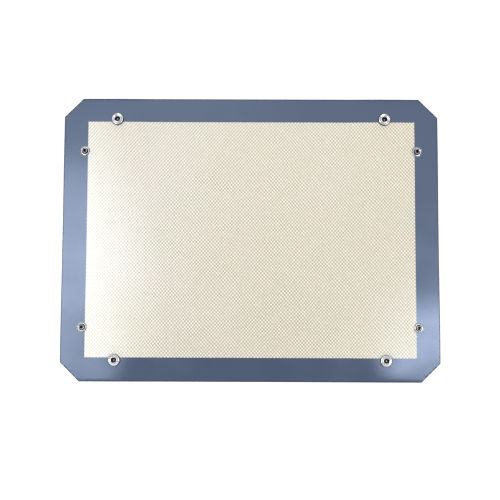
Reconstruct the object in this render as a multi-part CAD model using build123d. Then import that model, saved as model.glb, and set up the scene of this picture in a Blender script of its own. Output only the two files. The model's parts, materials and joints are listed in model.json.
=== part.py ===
"""Silicone baking mat whose corners pinch up and snap shut, so that it stands as a tray.

The sheet is silicone cast over glass cloth. Its field is plain, and a coloured band seals its edge.
Each corner has one press stud fastener in two halves: the stud sits by the side edge, and the socket
sits at the mirrored place by the front or back edge. Pinching the corner along its diagonal brings the
two halves face to face, and the four edges of the sheet stand up as walls.

The real sheet is one piece that bends. Here it is divided along its folds into a floor, four walls and
two flaps at each corner, so every panel keeps its own cloth, its own silicone and its own band.
X runs along the mat, Y runs from front to back, and Z = 0 is the surface that the mat lies on.
"""

from build123d import *

import math
import os

# Sheet
mat_length = 400.0
mat_width = 302.0
mat_thickness = 0.75
corner_cut = 20.0
band_width = 25.3
print_offset = 0.4  # the field is printed this far to the right of the sheet's centre
cloth_thickness = 0.25
edge_seal = 1.5  # silicone beyond the cloth, round the outer edge
fold_seal = 0.5  # silicone beyond the cloth, along each fold

# Folds
fold_gap = 0.3  # between two panels that fold against each other
seam_gap = 1.8  # where the corner's closed chain of panels is opened, at the wall beside the socket
fold_margin = 1.5  # sheet between the cap's rim and the crease beside it

# Places of the press studs
snap_along = 57.0  # from the nearer edge that the fastener does not lie by
snap_clear = 2.8  # from the fastener's middle to the band's inner edge

# Metal that all parts of the fasteners share
snap_sheet = 0.4
hidden_sides = 8  # flat sides of a barrel, its bore and its hole, which are hidden and repeat
shown_sides = 10  # flat sides of a bore or cavity that can be looked into
barrel_play = 0.05  # round a barrel, in the sheet and in the metal that it holds
snap_play = 0.1  # between the socket's face and the stud's base when they are snapped

# Cap, behind the sheet, whose barrel holds the socket
cap_diameter = 15.0
cap_height = 1.6
cap_edge = 0.5
cap_barrel = 4.4
cap_bore = 3.4
cap_bore_depth = 0.8
cap_roll = 5.4
cap_roll_height = 0.4

# Socket
socket_diameter = 13.0
socket_height = 3.6
socket_rim_roll = 0.3
socket_rim_width = 1.2
socket_dish = 0.3  # from the rim down to the sunk face
socket_cavity = 11.6
mouth_diameter = 5.8

# Spring, a pair of S-shaped wires wedged under the socket's face
spring_wire = 0.6
wire_sides = 6
spring_play = 0.05  # between each wire and the stud's neck
spring_bend = 0.9  # along the wire's middle run, of each oblique end
spring_tail = 1.4
spring_end_play = 0.05

# Stud
stud_diameter = 10.7
stud_base = 0.7
stud_rim_roll = 0.3
stud_height = 3.2
neck_diameter = 4.4
neck_bore = 3.6
bulb_diameter = 5.2
bulb_top = 4.6
bulb_height = 1.1
bulb_waist = 0.2  # height of the flare from the neck to the bulb's widest place
bulb_lead = 0.32  # height of the taper at its top

# Post, behind the sheet, whose barrel holds the stud
post_diameter = 10.7
post_height = 1.0
post_edge = 0.4
post_barrel = 2.8
post_bore = 2.0
post_bore_depth = 0.5
post_roll = 3.3
post_roll_height = 0.4

cut_overrun = 1.0  # how far every cutter runs past what it cuts

# Heights
sheet_low = cap_height
sheet_high = sheet_low + mat_thickness
cloth_low = sheet_low + (mat_thickness - cloth_thickness) / 2
cloth_high = cloth_low + cloth_thickness

socket_face = socket_height - socket_dish
ceiling = socket_face - snap_sheet  # the underside of the socket's face
snap_inset = band_width - snap_clear  # from the edge that the fastener lies by

# Folding geometry. A fastener has to lie on the pinched flaps, so the walls are as high as its place asks.
wall_height = snap_along + cap_diameter / 2 + fold_margin
fold_x = mat_length / 2 - wall_height
fold_y = mat_width / 2 - wall_height
closed_gap = socket_height + stud_base + snap_play  # between the pinched flaps
crease_shift = (math.sqrt(2) - 1) * mat_thickness + closed_gap / math.sqrt(2)
crease_x = fold_x - crease_shift
crease_y = fold_y - crease_shift
half_gap = fold_gap / 2

SIDES = {"left": -1, "right": 1}
ENDS = {"front": -1, "back": 1}


def prism(outline, low, high):
    """A plate with that outline, from one height to another."""
    face = Plane.XY.offset(low) * make_face(Polyline(*outline, close=True))
    return extrude(face, high - low)


def block(low_x, high_x, low_y, high_y, low, high):
    """A rectangular plate between those limits."""
    corners = [(low_x, low_y), (high_x, low_y), (high_x, high_y), (low_x, high_y)]
    return prism(corners, low, high)


def barrel(across, low, high, sides=hidden_sides):
    """An upright many-sided bar on the origin, that far across its flats."""
    face = RegularPolygon(across / 2, sides, major_radius=False)
    return extrude(Plane.XY.offset(low) * face, high - low)


def turned(*outline):
    """The solid that an outline of radii and heights makes when it is turned round the Z axis."""
    return revolve(Plane.XZ * make_face(Polyline(*outline, close=True)), Axis.Z, 360)


def field_zone(low, high):
    """The rectangle inside the band, set off the sheet's centre as its print is."""
    return block(
        band_width + print_offset - mat_length / 2,
        mat_length / 2 - band_width + print_offset,
        band_width - mat_width / 2,
        mat_width / 2 - band_width,
        low,
        high,
    )


def inner_sheet(low, high):
    """The part of the sheet that the cloth fills: all but the seal round its edge."""
    half_x = mat_length / 2 - edge_seal
    half_y = mat_width / 2 - edge_seal
    cut = corner_cut + (math.sqrt(2) - 2) * edge_seal
    outline = []
    for sign_x, sign_y in ((1, 1), (-1, 1), (-1, -1), (1, -1)):
        ends = [(half_x, half_y - cut), (half_x - cut, half_y)]
        if sign_x * sign_y < 0:
            ends.reverse()
        outline += [(sign_x * x, sign_y * y) for x, y in ends]
    return prism(outline, low, high)


def inset(outline, distance):
    """A convex outline moved inwards by a distance, so the cloth stays clear of the panel's edges."""
    face = make_face(Polyline(*outline, close=True))
    return offset(face, -distance, kind=Kind.INTERSECTION)


def panel_parts(outline, holes=()):
    """The layers of one panel: its cloth, the silicone of its field, and its band where it has one."""
    sheet = prism(outline, sheet_low, sheet_high)
    cloth = extrude(Plane.XY.offset(cloth_low) * inset(outline, fold_seal), cloth_thickness)
    cloth &= inner_sheet(cloth_low, cloth_high)
    for across, place in holes:
        cutter = Pos(*place) * barrel(across, sheet_low - cut_overrun, sheet_high + cut_overrun)
        sheet -= cutter
        cloth -= cutter
    silicone = sheet - cloth
    zone = field_zone(sheet_low, sheet_high)
    parts = {"cloth": cloth, "silicone": silicone & zone, "band": silicone - zone}
    return {layer: shape for layer, shape in parts.items() if shape.solids()}


def floor_outline():
    """The rectangle that stays flat when the corners are snapped."""
    half_x = fold_x - half_gap
    half_y = fold_y - half_gap
    return [(half_x, half_y), (-half_x, half_y), (-half_x, -half_y), (half_x, -half_y)]


def side_wall_outline(side):
    """The left or right wall, which carries a stud flap at each end."""
    near = side * (fold_x + half_gap)
    far = side * mat_length / 2
    half_y = crease_y - half_gap
    return [(near, -half_y), (far, -half_y), (far, half_y), (near, half_y)]


def end_wall_outline(end):
    """The front or back wall, whose ends meet the socket flaps."""
    near = end * (fold_y + half_gap)
    far = end * mat_width / 2
    half_x = crease_x - half_gap
    return [(-half_x, near), (half_x, near), (half_x, far), (-half_x, far)]


def flap_outline(crease_gap):
    """One flap of a corner, as distances from the edge that it lies by and from the other edge.

    The flap is a triangle between the crease, the wall's fold and the corner's diagonal, less the cut corner.
    """
    along = wall_height + crease_shift - crease_gap
    deep = wall_height - half_gap
    slope = half_gap * math.sqrt(2)
    return [
        (0, corner_cut),
        (0, along),
        (deep, along),
        (deep, deep + slope),
        ((corner_cut - slope) / 2, (corner_cut + slope) / 2),
    ]


def from_edges(side, end, from_side, from_end):
    """A place on the sheet that lies those distances from its side edge and from its front or back edge."""
    return side * (mat_length / 2 - from_side), end * (mat_width / 2 - from_end)


def stud_place(side, end):
    """Where the stud sits, by the side edge."""
    return from_edges(side, end, snap_inset, snap_along)


def socket_place(side, end):
    """Where the socket sits, mirrored over the corner's diagonal."""
    return from_edges(side, end, snap_along, snap_inset)


def stud_flap(side, end):
    """The flap beside the diagonal that the side wall carries."""
    outline = [from_edges(side, end, near, along) for near, along in flap_outline(half_gap)]
    hole = (post_barrel + 2 * barrel_play, stud_place(side, end))
    return panel_parts(outline, [hole])


def socket_flap(side, end):
    """The flap that folds over the stud flap, about the corner's diagonal."""
    outline = [from_edges(side, end, along, near) for near, along in flap_outline(seam_gap)]
    hole = (cap_barrel + 2 * barrel_play, socket_place(side, end))
    return panel_parts(outline, [hole])


def head(diameter, height, edge):
    """The round head of a cap or a post, under the sheet, with its lower edge eased."""
    outer = diameter / 2
    return turned((0, 0), (0, -height), (outer - edge, -height), (outer, edge - height), (outer, 0))


def riveted(shape, across, rolled, roll_height, bore, bore_depth):
    """A head with a hollow barrel through the sheet, rolled over on the metal that it holds."""
    roll_low = mat_thickness + snap_sheet
    roll_high = roll_low + roll_height
    shape += barrel(across, 0, roll_low)
    shape += barrel(rolled, roll_low, roll_high)
    return shape - barrel(bore, -bore_depth, roll_high + cut_overrun)


def cap():
    """The cap behind the sheet, whose barrel holds the socket. Z = 0 is the sheet's underside."""
    shape = head(cap_diameter, cap_height, cap_edge)
    return riveted(shape, cap_barrel, cap_roll, cap_roll_height, cap_bore, cap_bore_depth)


def socket():
    """The female half: a cup with a raised, rolled rim and a sunk face with a mouth, over a cavity.

    Z = 0 is the sheet's upper face.
    """
    outer = socket_diameter / 2
    rim_inner = outer - socket_rim_width
    mouth = mouth_diameter / 2
    cup = turned(
        (0, 0),
        (outer, 0),
        (outer, socket_height - socket_rim_roll),
        (outer - socket_rim_roll, socket_height),
        (rim_inner, socket_height),
        (rim_inner - socket_dish, socket_face),
        (mouth, socket_face),
        (mouth, snap_sheet),
        (0, snap_sheet),
    )
    cup -= barrel(socket_cavity, snap_sheet, ceiling, shown_sides)
    return cup - barrel(cap_barrel + 2 * barrel_play, -cut_overrun, snap_sheet + cut_overrun)


def spring():
    """Two S-shaped wires under the socket's face, one on each side of the stud's neck."""
    radius = spring_wire / 2
    corner = radius / math.cos(math.pi / wire_sides)
    level = ceiling - radius
    offset_y = neck_diameter / 2 + spring_play + corner
    tip_y = offset_y + spring_tail
    room = socket_cavity / 2 - spring_end_play
    reach = math.sqrt(room**2 - tip_y**2) - corner
    route = Polyline(
        (-reach, offset_y - spring_tail, level),
        (spring_bend - reach, offset_y, level),
        (reach - spring_bend, offset_y, level),
        (reach, tip_y, level),
    )
    profile = RegularPolygon(radius, wire_sides, major_radius=False)
    start = Plane(origin=route @ 0, x_dir=(0, 0, 1), z_dir=route % 0)
    wire = sweep(start * Rot(0, 0, 180 / wire_sides) * profile, path=route, transition=Transition.RIGHT)
    return [Rot(0, 0, angle) * wire for angle in (0, 180)]


def stud():
    """The male half: a flanged base, a neck and a hollow bulb. Z = 0 is the sheet's upper face."""
    outer = stud_diameter / 2
    neck = neck_diameter / 2
    half = turned(
        (0, 0),
        (outer, 0),
        (outer, stud_base - stud_rim_roll),
        (outer - stud_rim_roll, stud_base),
        (neck, stud_base),
        (neck, stud_height - bulb_height),
        (bulb_diameter / 2, stud_height - bulb_height + bulb_waist),
        (bulb_diameter / 2, stud_height - bulb_lead),
        (bulb_top / 2, stud_height),
        (0, stud_height),
    )
    half -= barrel(neck_bore, snap_sheet, stud_height + cut_overrun, shown_sides)
    return half - barrel(post_barrel + 2 * barrel_play, -cut_overrun, snap_sheet + cut_overrun)


def post():
    """The post behind the stud, rolled over inside its neck. Z = 0 is the sheet's underside."""
    shape = head(post_diameter, post_height, post_edge)
    return riveted(shape, post_barrel, post_roll, post_roll_height, post_bore, post_bore_depth)


def seated(shape, place, height):
    """A fastener's part at its place on the sheet, raised to the face that it sits on."""
    return [Pos(*place, height) * one for one in (shape if isinstance(shape, list) else [shape])]


def sheet_nodes():
    """Every layer of every panel, by its node's name."""
    panels = {"floor": panel_parts(floor_outline())}
    for side_name, side in SIDES.items():
        panels[f"{side_name}_wall"] = panel_parts(side_wall_outline(side))
    for end_name, end in ENDS.items():
        panels[f"{end_name}_wall"] = panel_parts(end_wall_outline(end))
        for side_name, side in SIDES.items():
            panels[f"{end_name}_{side_name}_stud_flap"] = stud_flap(side, end)
            panels[f"{end_name}_{side_name}_socket_flap"] = socket_flap(side, end)
    return {
        f"{panel}_{layer}": [shape]
        for panel, layers in panels.items()
        for layer, shape in layers.items()
    }


def fastener_nodes():
    """The five parts of each corner's press stud, by their nodes' names."""
    shapes = {"cap": cap(), "socket": socket(), "spring": spring(), "stud": stud(), "post": post()}
    nodes = {}
    for end_name, end in ENDS.items():
        for side_name, side in SIDES.items():
            for part, shape in shapes.items():
                at_stud = part in ("stud", "post")
                place = stud_place(side, end) if at_stud else socket_place(side, end)
                height = sheet_low if part in ("cap", "post") else sheet_high
                nodes[f"{end_name}_{side_name}_{part}"] = seated(shape, place, height)
    return nodes


def write(nodes):
    """Writes one file for each node."""
    os.makedirs("parts", exist_ok=True)
    for name, shapes in nodes.items():
        solids = [solid for shape in shapes for solid in shape.solids()]
        export_step(Compound(children=solids) if len(solids) > 1 else solids[0], f"parts/{name}.step")


write({**sheet_nodes(), **fastener_nodes()})
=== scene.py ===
import json
import math

import bmesh
import bpy
from mathutils import Matrix, Vector, noise


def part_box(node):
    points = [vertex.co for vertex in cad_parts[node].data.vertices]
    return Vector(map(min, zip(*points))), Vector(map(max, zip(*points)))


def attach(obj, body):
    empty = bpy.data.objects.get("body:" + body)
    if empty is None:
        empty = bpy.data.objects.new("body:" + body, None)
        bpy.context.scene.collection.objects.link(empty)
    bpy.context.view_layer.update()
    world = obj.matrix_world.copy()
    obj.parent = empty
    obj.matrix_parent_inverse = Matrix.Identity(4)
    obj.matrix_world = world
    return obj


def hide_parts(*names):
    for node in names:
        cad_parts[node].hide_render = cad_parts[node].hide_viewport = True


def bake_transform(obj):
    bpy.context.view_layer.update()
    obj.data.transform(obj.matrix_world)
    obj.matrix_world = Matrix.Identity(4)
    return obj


# Looks for a silicone baking mat with a press stud at each corner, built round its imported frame.
# The sheet is drawn as one flat mesh, cut along its folds and its colour edge, so neighbouring pieces
# share every point of their borders. Each piece is then given its thickness and its lie on the table.
# Lengths are in metres, X runs along the mat and Z = 0 is the table.

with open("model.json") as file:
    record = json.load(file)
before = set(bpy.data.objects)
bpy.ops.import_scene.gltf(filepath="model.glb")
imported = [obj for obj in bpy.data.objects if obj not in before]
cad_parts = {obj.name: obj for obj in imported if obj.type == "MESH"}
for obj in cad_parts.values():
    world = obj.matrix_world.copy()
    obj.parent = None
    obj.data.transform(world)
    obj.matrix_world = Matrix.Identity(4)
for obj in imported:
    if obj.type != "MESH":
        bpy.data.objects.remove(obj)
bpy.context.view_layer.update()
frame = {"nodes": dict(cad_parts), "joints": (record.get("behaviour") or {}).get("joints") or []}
joint_at = {joint["name"]: Vector(joint["pos_m"]) for joint in frame["joints"]}

SIDES = {"left": -1, "right": 1}
ENDS = {"front": -1, "back": 1}
CORNERS = [(end_name, side_name) for end_name in ENDS for side_name in SIDES]


def low_of(node):
    """The lowest corner of a CAD node."""
    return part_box(node)[0]


def high_of(node):
    """The highest corner of a CAD node."""
    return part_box(node)[1]


# Sizes that the frame gives
half_x = high_of("right_wall_band").x
half_y = high_of("back_wall_band").y
sheet_low = low_of("floor_silicone").z
sheet_high = high_of("floor_silicone").z
fold_x = joint_at["right_wall_fold"].x
fold_y = joint_at["back_wall_fold"].y
crease_y = joint_at["back_right_crease"].y
crease_x = fold_x - (fold_y - crease_y)
wall_height = half_x - fold_x
field_left = high_of("left_wall_band").x
field_right = low_of("right_wall_band").x
field_end = low_of("back_wall_band").y

# The sheet
corner_cut = 0.020
grid_pitch = 0.004
band_proud = 0.00004  # the band's silicone stands this far over the field's, on both faces
rim_drop_share = 0.45  # of the thickness, for the height of the outer edge's rounding on each face
rim_width = 0.0011  # of that rounding
rim_steps = 4  # rows in each quarter of the rounded edge
wall_bend = 0.0014  # width of the bend beside each wall's fold
crease_bend = 0.004
pinch_half = 0.006  # half the width of the strip that turns over along a corner's diagonal
bend_rows = 6
pinch_rows = 12
grid_reach = 1.0  # the grid runs this far each way before it is stretched over the mat
cut_reach = 1e-6  # a cut takes a point that is this near as its own
touch = 1e-5  # a point this near the outline, a seam or a turned part's axis lies on it
seam_fold = math.radians(45)  # between a wall's end and its socket flap when the corner is pinched
sheet_sharp = math.radians(40)  # a turn over this between two faces of the sheet shows as an edge

# How the sheet lies
snap_hold = 0.0085  # this near a fastener's axis the sheet keeps the frame's height
socket_reach = 0.046  # beyond this from a socket's axis it lies on the table
stud_reach = 0.080
table_gap = 0.00006
ripple_depth = 0.0009
ripple_scale = 11.0  # ripples in a metre, about
ripple_seed = 4.2


def ease(value):
    """0 below 0 and 1 above 1, with a smooth rise between."""
    value = min(max(value, 0.0), 1.0)
    return value * value * (3 - 2 * value)


def middle(node):
    """The middle of a CAD node."""
    low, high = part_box(node)
    return (low + high) / 2


supports = [
    (middle(f"{end}_{side}_{part}"), reach)
    for end, side in CORNERS
    for part, reach in (("socket", socket_reach), ("stud", stud_reach))
]


def settle(x, y):
    """How much higher the sheet lies at a place than in the frame, where it is flat."""
    free = 1.0
    for place, reach in supports:
        distance = math.hypot(x - place.x, y - place.y)
        free *= ease((distance - snap_hold) / (reach - snap_hold))
    ripple = 0.5 + 0.5 * noise.noise(Vector((x * ripple_scale, y * ripple_scale, ripple_seed)))
    return free * (ripple_depth * ripple - (sheet_low - table_gap))


# Materials


def emptied(owner):
    """The node tree of a material or of the world, emptied."""
    owner.use_nodes = True
    owner.node_tree.nodes.clear()
    return owner.node_tree


def tree_of(material):
    """A material's node tree with nothing but its shader and its output, and the shader."""
    tree = emptied(material)
    shader = tree.nodes.new("ShaderNodeBsdfPrincipled")
    output = tree.nodes.new("ShaderNodeOutputMaterial")
    tree.links.new(shader.outputs["BSDF"], output.inputs["Surface"])
    return tree, shader


def feed(tree, socket, value):
    """Gives a socket another node's output, or a plain value."""
    if isinstance(value, bpy.types.NodeSocket):
        tree.links.new(value, socket)
    else:
        socket.default_value = value


def maths(tree, operation, *values):
    """A maths node's result."""
    node = tree.nodes.new("ShaderNodeMath")
    node.operation = operation
    for socket, value in zip(node.inputs, values):
        feed(tree, socket, value)
    return node.outputs[0]


def mixed(tree, factor, first, second):
    """A colour between two colours."""
    node = tree.nodes.new("ShaderNodeMix")
    node.data_type = "RGBA"
    feed(tree, node.inputs["Factor"], factor)
    feed(tree, node.inputs["A"], first)
    feed(tree, node.inputs["B"], second)
    return node.outputs["Result"]


def spread(tree, value, low, high, new_low, new_high):
    """A value moved from one range to another and kept inside it."""
    node = tree.nodes.new("ShaderNodeMapRange")
    node.clamp = True
    for socket, number in zip(node.inputs, (value, low, high, new_low, new_high)):
        feed(tree, socket, number)
    return node.outputs["Result"]


def cloudy(tree, vector, scale, detail):
    """Smooth noise from 0 to 1."""
    node = tree.nodes.new("ShaderNodeTexNoise")
    node.inputs["Scale"].default_value = scale
    node.inputs["Detail"].default_value = detail
    tree.links.new(vector, node.inputs["Vector"])
    return node.outputs["Fac"]


def bumped(tree, height, distance):
    """A surface direction from a height between 0 and 1, where 1 is a distance over 0."""
    node = tree.nodes.new("ShaderNodeBump")
    node.inputs["Distance"].default_value = distance
    tree.links.new(height, node.inputs["Height"])
    return node.outputs["Normal"]


def linear(red, green, blue):
    """A colour given in screen values from 0 to 255, as the shader wants it."""

    def channel(value):
        """One part of it, taken off the screen's standard curve."""
        value /= 255
        return value / 12.92 if value <= 0.04045 else ((value + 0.055) / 1.055) ** 2.4

    return (channel(red), channel(green), channel(blue), 1.0)


def scaled(colour, share):
    """A colour with a share of its lightness."""
    return [share * part for part in colour[:3]] + [1.0]


def seen_by(tree, *rays):
    """1 for rays of the given kinds, and 0 for the others."""
    kinds = tree.nodes.new("ShaderNodeLightPath").outputs
    found = kinds[rays[0]]
    for ray in rays[1:]:
        found = maths(tree, "MAXIMUM", found, kinds[ray])
    return found


# The cloth in the silicone, drawn by a flat map of the sheet that runs from 0 to 1 each way.
# A noise has its scale and its detail, and a range says which two values become which other two.
FLAT_MAP = "flat"
map_span = 0.44  # the flat map's square covers this much of the table, with the mat in its middle
warp_pitch = 0.00175  # from thread to thread along the mat
weft_pitch = 0.00197
thread_wander = 5.0  # how far a thread can drift, as an angle of the weave's waves
WANDER_NOISE = (9.0, 2.0)


def weave(tree):
    """The flat map, its two directions, and the cloth's two diagonal grains, each from -1 to 1."""
    flat = tree.nodes.new("ShaderNodeUVMap")
    flat.uv_map = FLAT_MAP
    split = tree.nodes.new("ShaderNodeSeparateXYZ")
    tree.links.new(flat.outputs["UV"], split.inputs[0])
    drift = cloudy(tree, flat.outputs["UV"], *WANDER_NOISE)
    turns = []
    for axis, pitch in (("X", warp_pitch), ("Y", weft_pitch)):
        plain = maths(tree, "MULTIPLY", split.outputs[axis], math.pi * map_span / pitch)
        turns.append(maths(tree, "MULTIPLY_ADD", drift, thread_wander, plain))
    rising = maths(tree, "COSINE", maths(tree, "SUBTRACT", *turns))
    falling = maths(tree, "COSINE", maths(tree, "ADD", *turns))
    return flat.outputs["UV"], split.outputs["X"], split.outputs["Y"], rising, falling


# How strongly the cloth shows in the cream field, to the left, the front and the right front corner. On
# the left the cloth is painted faint so the cream comes out whiter: a painted sheen.
rising_slant = 0.8  # each grain fades along the mat, and by this share of that across it
falling_slant = -1.5
RISING_RANGE = (0.9, 1.1, 0.5, 0.38)
FALLING_RANGE = (-0.92, -0.45, 0.14, 0.5)
left_sheen_middle = 0.33  # across the mat, where the painted sheen on the left side reaches farthest in
left_sheen_bulge = 0.65
LEFT_SHEEN_RANGE = (0.13, 0.3, 0.22, 0.52)
FRONT_RANGE = (0.25, 0.72, 1.14, 1.0)
CORNER_RANGE = (0.42, 0.68, 1.0, 0.68)
PATCH_NOISE = (26.0, 3.0)
PATCH_RANGE = (0.3, 0.7, 0.75, 1.25)
THREAD_NOISE = (190.0, 1.0)
THREAD_RANGE = (0.3, 0.7, 0.5, 1.5)

# The cream silicone: how its tone drifts, warmer towards the right and cooler and whiter towards the left
# with random patches, and its colours in the cloth's gaps and on its crests
TONE_NOISE = (5.0, 4.0)
TONE_RANGE = (-0.5, 0.5, 0.0, 1.0)
BLUSH_NOISE = (11.0, 2.0)
BLUSH_RANGE = (0.4, 0.6, 0.0, 1.0)
WARM_GAPS = (linear(172, 161, 123), linear(179, 160, 128))
COOL_GAPS = (linear(179, 170, 143), linear(186, 169, 149))
CRESTS = (linear(255, 251, 238), linear(255, 254, 247))
CREAM_ROUGHNESS = (0.0, 1.0, 0.3, 0.22)
CREAM_SHEEN = (0.58, 0.75, 1.0, 1.0)
cream_ior = 1.42
cream_relief = 0.00004


def field_material():
    """Cream silicone over a woven cloth, whose raised crossings are lighter than its gaps."""
    material = bpy.data.materials.new("cream_silicone")
    tree, shader = tree_of(material)
    flat, along, across, rising, falling = weave(tree)
    rising_place = maths(tree, "MULTIPLY_ADD", across, rising_slant, along)
    falling_place = maths(tree, "MULTIPLY_ADD", across, falling_slant, along)
    rising = maths(tree, "MULTIPLY", rising, spread(tree, rising_place, *RISING_RANGE))
    falling = maths(tree, "MULTIPLY", falling, spread(tree, falling_place, *FALLING_RANGE))
    from_middle = maths(tree, "SUBTRACT", across, left_sheen_middle)
    bulge = maths(tree, "MULTIPLY", maths(tree, "MULTIPLY", from_middle, from_middle), left_sheen_bulge)
    # painted sheen: the cloth fades towards the left edge, which leaves the cream whiter and smoother
    # there
    left = spread(tree, maths(tree, "ADD", along, bulge), *LEFT_SHEEN_RANGE)
    front = spread(tree, across, *FRONT_RANGE)
    corner = spread(tree, maths(tree, "SUBTRACT", along, across), *CORNER_RANGE)
    patchy = spread(tree, cloudy(tree, flat, *PATCH_NOISE), *PATCH_RANGE)
    uneven = spread(tree, cloudy(tree, flat, *THREAD_NOISE), *THREAD_RANGE)
    varied = maths(tree, "MULTIPLY", patchy, uneven)
    grain = maths(tree, "MULTIPLY", maths(tree, "ADD", rising, falling), varied)
    shown = maths(tree, "MULTIPLY", maths(tree, "MULTIPLY", left, front), corner)
    depth = maths(tree, "MULTIPLY", maths(tree, "SUBTRACT", 1.0, grain), shown)
    height = maths(tree, "SUBTRACT", 1.0, depth)
    # the tone drifts warmer towards the right and cooler and whiter towards the left, with random patches
    toned = maths(tree, "SUBTRACT", cloudy(tree, flat, *TONE_NOISE), along)
    tone_drift = spread(tree, toned, *TONE_RANGE)
    blush = spread(tree, cloudy(tree, flat, *BLUSH_NOISE), *BLUSH_RANGE)
    gap = mixed(tree, tone_drift, mixed(tree, blush, *WARM_GAPS), mixed(tree, blush, *COOL_GAPS))
    crest = mixed(tree, tone_drift, *CRESTS)
    tree.links.new(mixed(tree, height, gap, crest), shader.inputs["Base Color"])
    tree.links.new(spread(tree, height, *CREAM_ROUGHNESS), shader.inputs["Roughness"])
    tree.links.new(bumped(tree, height, cream_relief), shader.inputs["Normal"])
    shader.inputs["Specular Tint"].default_value = CREAM_SHEEN
    shader.inputs["IOR"].default_value = cream_ior
    return material


# The slate-blue band: its colours in the weave's gaps, on its crests and where neither shows
BAND_TONES = (linear(49, 60, 84), linear(60, 71, 96), linear(56, 67, 91))
grain_share = 0.25  # of the two grains' sum, which runs from -2 to 2
grain_middle = 0.5
MOTTLE_NOISE = (14.0, 4.0)
BAND_ROUGHNESS = (0.3, 0.7, 0.16, 0.22)
BAND_SHEEN = (0.61, 0.75, 1.0, 1.0)
band_gloss = 0.8
band_ior = 1.5
band_relief = 0.00002


def band_material(name, lightness):
    """Slate-blue silicone, smoother and glossier, with the weave faint under it."""
    material = bpy.data.materials.new(name)
    tree, shader = tree_of(material)
    flat, _, _, rising, falling = weave(tree)
    grain = maths(tree, "ADD", rising, falling)
    height = maths(tree, "MULTIPLY_ADD", grain, grain_share, grain_middle)
    mottle = cloudy(tree, flat, *MOTTLE_NOISE)
    # a lightness below 1 gives the darker copy that paints shade on the outer edge
    gap, crest, even = [scaled(tone, lightness) for tone in BAND_TONES]
    woven = mixed(tree, height, gap, crest)
    tree.links.new(mixed(tree, mottle, woven, even), shader.inputs["Base Color"])
    tree.links.new(spread(tree, mottle, *BAND_ROUGHNESS), shader.inputs["Roughness"])
    tree.links.new(bumped(tree, height, band_relief), shader.inputs["Normal"])
    shader.inputs["Specular Tint"].default_value = BAND_SHEEN
    shader.inputs["Specular IOR Level"].default_value = band_gloss
    shader.inputs["IOR"].default_value = band_ior
    return material


# The metals: each one's colour, and its roughness where it is smooth and where it is rubbed
METALS = {
    "bright_nickel": ((0.44, 0.455, 0.48, 1.0), 0.09, 0.2),
    # the near-black metal is painted shade for the fasteners' hollows, grooves and the socket's outer wall
    "painted_shade_steel": ((0.012, 0.012, 0.014, 1.0), 0.3, 0.5),
    "spring_bronze": ((0.2, 0.17, 0.14, 1.0), 0.25, 0.36),
}
MARK_NOISE = (900.0, 5.0)
MARK_RANGE = (0.35, 0.65)
smooth_share = 0.86  # of the metal's lightness, where it is smooth
mark_relief = 0.00001


def metal_material(name, tint, smooth, rough):
    """Plated metal with fine rubbing marks."""
    material = bpy.data.materials.new(name)
    tree, shader = tree_of(material)
    place = tree.nodes.new("ShaderNodeTexCoord").outputs["Object"]
    marks = cloudy(tree, place, *MARK_NOISE)
    tone = mixed(tree, marks, scaled(tint, smooth_share), tint)
    tree.links.new(tone, shader.inputs["Base Color"])
    roughness = spread(tree, marks, *MARK_RANGE, smooth, rough)
    tree.links.new(roughness, shader.inputs["Roughness"])
    tree.links.new(bumped(tree, marks, mark_relief), shader.inputs["Normal"])
    shader.inputs["Metallic"].default_value = 1.0
    return material


# The band's rounded outer edge gets a darker copy of the band: painted shade along the mat's outline.
rim_shade_lightness = 0.4
cream = field_material()
slate = band_material("slate_silicone", 1.0)
slate_painted_shade_rim = band_material("slate_silicone_painted_shade_rim", rim_shade_lightness)
nickel, painted_shade_steel, bronze = [metal_material(name, *look) for name, look in METALS.items()]


# Pieces


def made(name, solid, sharp_angle, *materials):
    """An object in the scene from a mesh in the making, with its materials."""
    bmesh.ops.recalc_face_normals(solid, faces=solid.faces)
    mesh = bpy.data.meshes.new(name)
    solid.to_mesh(mesh)
    solid.free()
    mesh.set_sharp_from_angle(angle=sharp_angle)
    for material in materials:
        mesh.materials.append(material)
    piece = bpy.data.objects.new(name, mesh)
    bpy.context.scene.collection.objects.link(piece)
    return piece


# The sheet's pieces


def from_edges(x, y):
    """How far a place is from the nearer side edge, and from the nearer front or back edge."""
    return half_x - abs(x), half_y - abs(y)


def cut(sheet, point, direction, within=None, clear=False):
    """Cuts the faces of a zone along an upright plane, and may clear the plane's outer side."""
    faces = [face for face in sheet.faces if within is None or within(*face.calc_center_median().xy)]
    edges = {edge for face in faces for edge in face.edges}
    corners = {corner for face in faces for corner in face.verts}
    bmesh.ops.bisect_plane(
        sheet,
        geom=[*faces, *edges, *corners],
        dist=cut_reach,
        plane_co=point,
        plane_no=direction,
        clear_outer=clear,
    )


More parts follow.
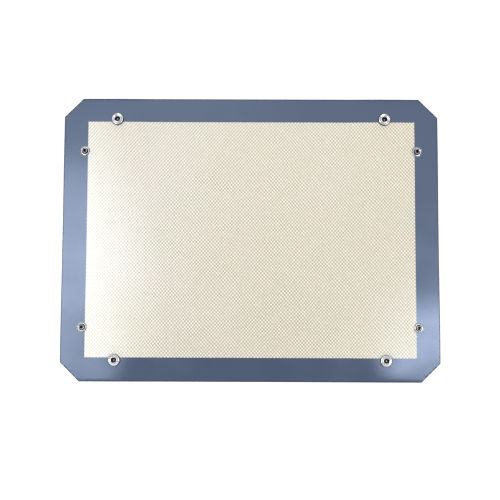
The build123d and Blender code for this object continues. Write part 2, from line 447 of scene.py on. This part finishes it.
def flat_sheet():
    """The whole mat as one flat mesh, cut along each fold, each row of its bends and its colour edge."""
    sheet = bmesh.new()
    cells_x = round(2 * half_x / grid_pitch)
    cells_y = round(2 * half_y / grid_pitch)
    bmesh.ops.create_grid(sheet, x_segments=cells_x, y_segments=cells_y, size=grid_reach)
    for corner in sheet.verts:
        corner.co = Vector((corner.co.x * half_x, corner.co.y * half_y, 0.0))
    for sign_x in (-1, 1):
        along_x = Vector((sign_x, 0, 0))
        for row in range(bend_rows + 1):
            step = wall_bend * row / bend_rows
            cut(sheet, along_x * (fold_x + step), along_x)
        cut(sheet, along_x * crease_x, along_x, lambda x, y: abs(y) > fold_y)
    for sign_y in (-1, 1):
        along_y = Vector((0, sign_y, 0))
        for row in range(bend_rows + 1):
            step = wall_bend * row / bend_rows
            cut(sheet, along_y * (fold_y + step), along_y)
            step = crease_bend * row / bend_rows
            cut(sheet, along_y * (crease_y + step), along_y, lambda x, y: abs(x) > fold_x)
        cut(sheet, along_y * field_end, along_y)
    for edge in (field_left, field_right):
        cut(sheet, Vector((edge, 0, 0)), Vector((1, 0, 0)))
    for sign_x in (-1, 1):
        for sign_y in (-1, 1):
            outwards = Vector((sign_x, sign_y, 0)).normalized()
            corner = Vector((sign_x * (half_x - corner_cut), sign_y * half_y, 0))
            cut(sheet, corner, outwards, clear=True)
            across = Vector((sign_x, -sign_y, 0)).normalized()
            inner = Vector((sign_x * fold_x, sign_y * fold_y, 0))
            for row in range(pinch_rows + 1):
                step = pinch_half * (2 * row / pinch_rows - 1)
                cut(
                    sheet,
                    inner + across * step,
                    across,
                    lambda x, y: x * sign_x > fold_x and y * sign_y > fold_y,
                )
    return sheet


def panel_at(x, y):
    """The name of the panel, or of the strip along a corner's diagonal, that a place belongs to."""
    from_side, from_end = from_edges(x, y)
    side = "left" if x < 0 else "right"
    end = "front" if y < 0 else "back"
    if from_side > wall_height and from_end > wall_height:
        return "floor"
    if from_side < wall_height and abs(y) < crease_y:
        return f"{side}_wall"
    if from_end < wall_height and abs(x) < crease_x:
        return f"{end}_wall"
    across = (from_end - from_side) / math.sqrt(2)
    if max(from_side, from_end) < wall_height and abs(across) < pinch_half:
        return f"{end}_{side}_pinch"
    return f"{end}_{side}_stud_flap" if across > 0 else f"{end}_{side}_socket_flap"


def layer_at(x, y):
    """Whether a place is in the field or in the band round it."""
    inside = field_left < x < field_right and abs(y) < field_end
    return "field" if inside else "band"


def outwards_at(x, y):
    """The direction out of the sheet at a place on its outline, or nothing elsewhere."""
    from_side, from_end = from_edges(x, y)
    sign = Vector((math.copysign(1, x), math.copysign(1, y)))
    found = Vector((0.0, 0.0))
    if from_side < touch:
        found += Vector((sign.x, 0))
    if from_end < touch:
        found += Vector((0, sign.y))
    if from_side + from_end < corner_cut + touch:
        found += sign.normalized()
    return found.normalized() if found.length > 0 else None


def mitre_at(panel, x, y):
    """How far a piece's lower face is cut back at a place, so that the folded seam beside it closes."""
    if abs(abs(x) - crease_x) > touch or abs(y) < fold_y + touch:
        return 0.0
    mitre = math.copysign((sheet_high - sheet_low) * math.tan(seam_fold / 2), x)
    return mitre if panel.endswith("socket_flap") else -mitre


def column(x, y, low, high):
    """The points of the sheet at a place, from its upper face to its lower one, round its outer edge."""
    outwards = outwards_at(x, y)
    if outwards is None:
        return [(x, y, high), (x, y, low)]
    rim_drop = rim_drop_share * (high - low)
    half = []
    for step in range(rim_steps + 1):
        angle = math.pi / 2 * step / rim_steps
        back = rim_width * (1 - math.sin(angle))
        half.append((x - outwards.x * back, y - outwards.y * back, rim_drop * (1 - math.cos(angle))))
    upper = [(px, py, high - drop) for px, py, drop in half]
    lower = [(px, py, low + drop) for px, py, drop in reversed(half)]
    return upper + lower


def sheet_solid(panel, faces, low, high):
    """A closed piece of the sheet, flat between two heights, with its outer edge rounded."""
    solid = bmesh.new()
    columns = {}
    uses = {}
    for face in faces:
        for corner in face.verts:
            if corner.index not in columns:
                mitre = mitre_at(panel, corner.co.x, corner.co.y)
                columns[corner.index] = [
                    solid.verts.new((px + mitre * (high - pz) / (high - low), py, pz))
                    for px, py, pz in column(corner.co.x, corner.co.y, low, high)
                ]
        for edge in face.edges:
            uses[edge] = uses.get(edge, 0) + 1
    for face in faces:
        solid.faces.new([columns[corner.index][0] for corner in face.verts])
        solid.faces.new([columns[corner.index][-1] for corner in reversed(face.verts)])
        for loop in face.loops:
            if uses[loop.edge] > 1:
                continue
            first = columns[loop.vert.index]
            second = columns[loop.link_loop_next.vert.index]
            between = (loop.vert.co + loop.link_loop_next.vert.co) / 2
            if outwards_at(between.x, between.y) is None:
                solid.faces.new([*reversed(second), *first][::-1])
                continue
            for row in range(len(first) - 1):
                rim = solid.faces.new([first[row + 1], second[row + 1], second[row], first[row]])
                # the rounded outer edge takes the band's darker copy, painted shade
                rim.material_index = 1
    return solid


def sheet_piece(panel, layer, faces):
    """A piece of the sheet with its flat map, lying on the table, with its flat size and its area."""
    proud = band_proud if layer == "band" else 0.0
    solid = sheet_solid(panel, faces, sheet_low - proud, sheet_high + proud)
    flat = solid.loops.layers.uv.new(FLAT_MAP)
    for face in solid.faces:
        face.smooth = True
        for loop in face.loops:
            place = loop.vert.co
            loop[flat].uv = (place.x / map_span + 0.5, place.y / map_span + 0.5)
    lows = [min(point.co[axis] for point in solid.verts) for axis in (0, 1)]
    highs = [max(point.co[axis] for point in solid.verts) for axis in (0, 1)]
    for point in solid.verts:
        point.co.z += settle(point.co.x, point.co.y)
    materials = (cream,) if layer == "field" else (slate, slate_painted_shade_rim)
    piece = made(f"{panel}_{layer}_sheet", solid, sheet_sharp, *materials)
    flat_size = (highs[0] - lows[0], highs[1] - lows[1])
    return piece, flat_size, sum(face.calc_area() for face in faces)


def bend(piece, panel):
    """Ties the floor's piece and each socket flap's piece to its panel's body, and bakes the other pieces'
    placement into their meshes.
    """
    if panel == "floor":
        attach(piece, "floor_panel")
        return
    words = panel.split("_")
    if words[-1] == "wall":
        if words[0] in SIDES:
            inner = Vector((SIDES[words[0]] * fold_x, 0, 0))
        else:
            inner = Vector((0, ENDS[words[0]] * fold_y, 0))
        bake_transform(piece)
        return
    end_name, side_name = words[:2]
    corner = f"{end_name}_{side_name}"
    end, side = ENDS[end_name], SIDES[side_name]
    if words[2] == "stud":
        inner = Vector((0, end * crease_y, 0))
        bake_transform(piece)
    elif words[2] == "socket":
        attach(piece, panel)
    else:
        inner = Vector((side * fold_x, end * fold_y, 0))
        across = Vector((side, -end, 0)).normalized() * pinch_half
        flaps = [(f"{corner}_stud_flap", inner + across), (f"{corner}_socket_flap", inner - across)]
        if side_name == "left":
            flaps.reverse()  # on the left the two flaps are listed the other way round
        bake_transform(piece)


def stood_for(panel, layer):
    """The CAD nodes that a piece of the sheet stands for."""
    if panel.endswith("_pinch"):
        return []
    layers = ("silicone", "cloth") if layer == "field" else ("band",)
    return [f"{panel}_{one}" for one in layers]


def make_sheet():
    """All the pieces of the sheet."""
    sheet = flat_sheet()
    sheet.verts.index_update()
    groups = {}
    for face in sheet.faces:
        x, y = face.calc_center_median().xy
        groups.setdefault((panel_at(x, y), layer_at(x, y)), []).append(face)
    for (panel, layer), faces in sorted(groups.items()):
        piece, flat_size, area = sheet_piece(panel, layer, faces)
        bend(piece, panel)
        nodes = stood_for(panel, layer)
        if nodes:
            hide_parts(*nodes)
    sheet.free()


# The fasteners

turn_steps = 72
arc_steps = 5
metal_sharp = math.radians(50)  # a turn over this between two faces of metal shows as an edge


def rounded(corners):
    """An outline's points, with each corner turned on its own radius."""
    points = []
    count = len(corners)
    for index, (radius, height, fillet) in enumerate(corners):
        here = Vector((radius, height))
        if fillet == 0:
            points.append(here)
            continue
        before = Vector(corners[index - 1][:2]) - here
        after = Vector(corners[(index + 1) % count][:2]) - here
        before.normalize()
        after.normalize()
        opening = before.angle(after)
        reach = fillet / math.tan(opening / 2)
        centre = here + (before + after).normalized() * fillet / math.sin(opening / 2)
        start = here + before * reach - centre
        sweep = start.angle_signed(here + after * reach - centre)
        for step in range(arc_steps + 1):
            points.append(centre + Matrix.Rotation(-sweep * step / arc_steps, 2) @ start)
    return points


def points_before(corners, count):
    """How many points an outline's first corners are turned into."""
    return sum(arc_steps + 1 if fillet > 0 else 1 for _, _, fillet in corners[:count])


def turned(name, corners, place, shaded_spans, body, node):
    """A piece of plated metal turned on an upright axis, painted near-black as shade between some of its
    outline's corners.
    """
    shade_rows = [[points_before(corners, corner) for corner in pair] for pair in shaded_spans]
    solid = bmesh.new()
    rings = []
    for radius, height in rounded(corners):
        level = place.z + height
        if radius < touch:
            rings.append([solid.verts.new((place.x, place.y, level))])
            continue
        ring = []
        for step in range(turn_steps):
            angle = 2 * math.pi * step / turn_steps
            x = place.x + radius * math.cos(angle)
            y = place.y + radius * math.sin(angle)
            ring.append(solid.verts.new((x, y, level)))
        rings.append(ring)
    hollow = len(rings[0]) > 1
    pairs = zip(rings, rings[1:] + rings[:1]) if hollow else zip(rings, rings[1:])
    for row, (first, second) in enumerate(pairs):
        is_shaded = any(first_row <= row < last_row for first_row, last_row in shade_rows)
        for step in range(turn_steps):
            following = (step + 1) % turn_steps
            points = [
                first[step % len(first)],
                first[following % len(first)],
                second[following % len(second)],
                second[step % len(second)],
            ]
            unique = list(dict.fromkeys(points))
            if len(unique) > 2:
                face = solid.faces.new(unique)
                face.smooth = True
                # faces between the listed corners take the near-black metal, painted shade
                face.material_index = int(is_shaded)
    piece = made(name, solid, metal_sharp, nickel, painted_shade_steel)
    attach(piece, body)
    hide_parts(node)


MM = 0.001


def in_metres(corners):
    """An outline given in millimetres, in metres."""
    return [tuple(MM * size for size in corner) for corner in corners]


# Each corner of an outline has its radius, its height from the sheet's face and its fillet, in millimetres
cap_outline = in_metres([
    (0, -1.6, 0), (4.2, -1.58, 0), (6.6, -1.25, 1.5), (7.5, -0.75, 0.3), (7.5, 0, 0.1),
    (2.2, 0, 0), (2.2, 1.15, 0), (2.7, 1.18, 0.15), (2.7, 1.55, 0.18), (1.75, 1.55, 0.15),
    (1.7, 1.0, 0), (0.4, 1.0, 0), (0, 1.0, 0),
])
socket_outline = in_metres([
    (5.8, 3.45, 0.15), (5.3, 3.6, 0.3), (4.6, 3.42, 0.5), (3.8, 3.1, 0.4), (3.3, 3.25, 0.25),
    (2.95, 3.1, 0.1), (2.95, 2.9, 0), (5.8, 2.9, 0), (5.8, 0.4, 0.2), (2.25, 0.4, 0),
    (2.25, 0, 0), (6.5, 0, 0.1), (6.5, 0.5, 0.2), (6.3, 2.4, 0.3), (6.1, 3.1, 0.2),
])
stud_outline = in_metres([
    (5.35, 0.5, 0.15), (5.1, 0.62, 0.15), (4.85, 0.3, 0.12), (4.5, 0.85, 0.35), (3.9, 1.0, 0.6),
    (3.2, 0.75, 0.4), (2.7, 0.4, 0.15), (2.2, 0.4, 0.15), (2.2, 2.1, 0.2), (2.6, 2.4, 0.25),
    (2.5, 2.9, 0.3), (2.2, 3.2, 0.2), (1.95, 3.1, 0.1), (1.85, 2.8, 0.1), (1.8, 0.4, 0),
    (1.45, 0.4, 0), (1.45, 0, 0), (5.35, 0, 0.1),
])
post_outline = in_metres([
    (0, -1.0, 0), (4.4, -1.0, 1.0), (5.35, -0.6, 0.3), (5.35, 0, 0.1), (1.4, 0, 0),
    (1.4, 1.15, 0), (1.65, 1.18, 0.1), (1.65, 1.55, 0.12), (1.05, 1.55, 0.1), (1.0, 1.0, 0),
    (0, 1.0, 0),
])
OUTLINES = {  # with the corners between which it is painted near-black as shade, its flap, and the sheet's face it sits on
    "cap": (cap_outline, [(6, 11)], "socket_flap", "low"),
    "socket": (socket_outline, [(6, 14)], "socket_flap", "high"),
    "stud": (stud_outline, [(2, 3), (6, 9), (12, 18)], "stud_flap", "high"),
    "post": (post_outline, [(5, 11)], "stud_flap", "low"),
}


def make_fasteners():
    """The cap, socket, stud and post of each corner, and the finish of its spring."""
    for end, side in CORNERS:
        corner = f"{end}_{side}"
        for part, (outline, shaded_spans, flap, face) in OUTLINES.items():
            node = f"{corner}_{part}"
            place = middle(node)
            place.z = sheet_low if face == "low" else sheet_high
            turned(f"{node}_part", outline, place, shaded_spans, f"{corner}_{flap}", node)
        wire = frame["nodes"][f"{corner}_spring"]
        wire.data.materials.clear()
        wire.data.materials.append(bronze)


# Table, light and camera

table_radius = 1.0
table_sides = 96
TABLE_COLOUR = (0.86, 0.86, 0.86, 1.0)
table_lift = 0.4  # of brightness, to white, where the camera or a glossy surface sees the table
SKY_COLOUR = (1.0, 1.0, 1.0, 1.0)
sky_strength = 0.504
camera_range = 1.0
camera_tip = math.radians(-4.903)  # the photograph was taken from nearly straight above
camera_lean = math.radians(-0.18)
camera_roll = math.radians(-0.205)
camera_offset = Vector((-0.00054, -0.01175))  # from the mat's middle, along the camera's X and Y
frame_pixels = 500
focal_pixels = 939.62
sensor_width = 36.0


def make_table():
    """A plain white round table that keeps the mat's shadow."""
    bpy.ops.mesh.primitive_circle_add(vertices=table_sides, radius=table_radius, fill_type="NGON")
    table = bpy.context.object
    table.name = "table"
    material = bpy.data.materials.new("white_table")
    tree = emptied(material)
    matt = tree.nodes.new("ShaderNodeBsdfDiffuse")
    matt.inputs["Color"].default_value = TABLE_COLOUR
    glow = tree.nodes.new("ShaderNodeEmission")
    lift = maths(tree, "MULTIPLY", seen_by(tree, "Is Camera Ray", "Is Glossy Ray"), table_lift)
    tree.links.new(lift, glow.inputs["Strength"])
    both = tree.nodes.new("ShaderNodeAddShader")
    tree.links.new(matt.outputs[0], both.inputs[0])
    tree.links.new(glow.outputs[0], both.inputs[1])
    output = tree.nodes.new("ShaderNodeOutputMaterial")
    tree.links.new(both.outputs[0], output.inputs["Surface"])
    table.data.materials.append(material)


def make_world():
    """A dim even sky, which looks white where the camera or a glossy surface sees it."""
    world = bpy.data.worlds.new("studio")
    bpy.context.scene.world = world
    tree = emptied(world)
    sky = tree.nodes.new("ShaderNodeBackground")
    sky.inputs["Color"].default_value = SKY_COLOUR
    straight = seen_by(tree, "Is Camera Ray", "Is Glossy Ray", "Is Transmission Ray")
    tree.links.new(spread(tree, straight, 0.0, 1.0, sky_strength, 1.0), sky.inputs["Strength"])
    output = tree.nodes.new("ShaderNodeOutputWorld")
    tree.links.new(sky.outputs[0], output.inputs["Surface"])


lamp_height = 1.2
SOFTBOXES = {  # from the left to the right, from the front to the back, and how bright it is
    "left_softbox": (-0.8, -0.26, -0.03, 0.13, 8.4),
    "left_back_softbox": (-0.8, -0.26, 0.13, 0.275, 5.3),
    "left_front_softbox": (-0.8, -0.325, -0.32, -0.045, 5.65),
    "right_softbox": (0.32, 0.8, -0.26, 0.02, 10.2),
    "back_left_softbox": (-0.62, 0.04, 0.275, 0.62, 1.55),
    "back_right_softbox": (0.04, 0.62, 0.1, 0.62, 1.0),
}


def make_softboxes():
    """Large soft lamps that hang side by side and face straight down."""
    for name, (left, right, front, back, brightness) in SOFTBOXES.items():
        lamp = bpy.data.lights.new(name, "AREA")
        lamp.shape = "RECTANGLE"
        lamp.size = right - left
        lamp.size_y = back - front
        lamp.energy = brightness * math.pi * lamp.size * lamp.size_y
        holder = bpy.data.objects.new(name, lamp)
        holder.location = ((left + right) / 2, (front + back) / 2, lamp_height)
        bpy.context.scene.collection.objects.link(holder)


def make_camera():
    """The photograph's camera, looking down on the mat."""
    to_camera = (
        Matrix.Rotation(camera_roll, 3, "Z")
        @ Matrix.Rotation(camera_lean, 3, "Y")
        @ Matrix.Rotation(camera_tip, 3, "X")
    )
    to_world = to_camera.transposed()
    lens = bpy.data.cameras.new("camera")
    lens.sensor_width = sensor_width
    lens.lens = sensor_width * focal_pixels / frame_pixels
    camera = bpy.data.objects.new("camera", lens)
    place = to_world @ Vector((camera_offset.x, camera_offset.y, camera_range))
    camera.matrix_world = Matrix.Translation(place) @ to_world.to_4x4()
    bpy.context.scene.collection.objects.link(camera)
    bpy.context.scene.camera = camera


make_sheet()
make_fasteners()
make_table()
make_world()
make_softboxes()
make_camera()
bpy.context.scene.view_settings.view_transform = "Standard"
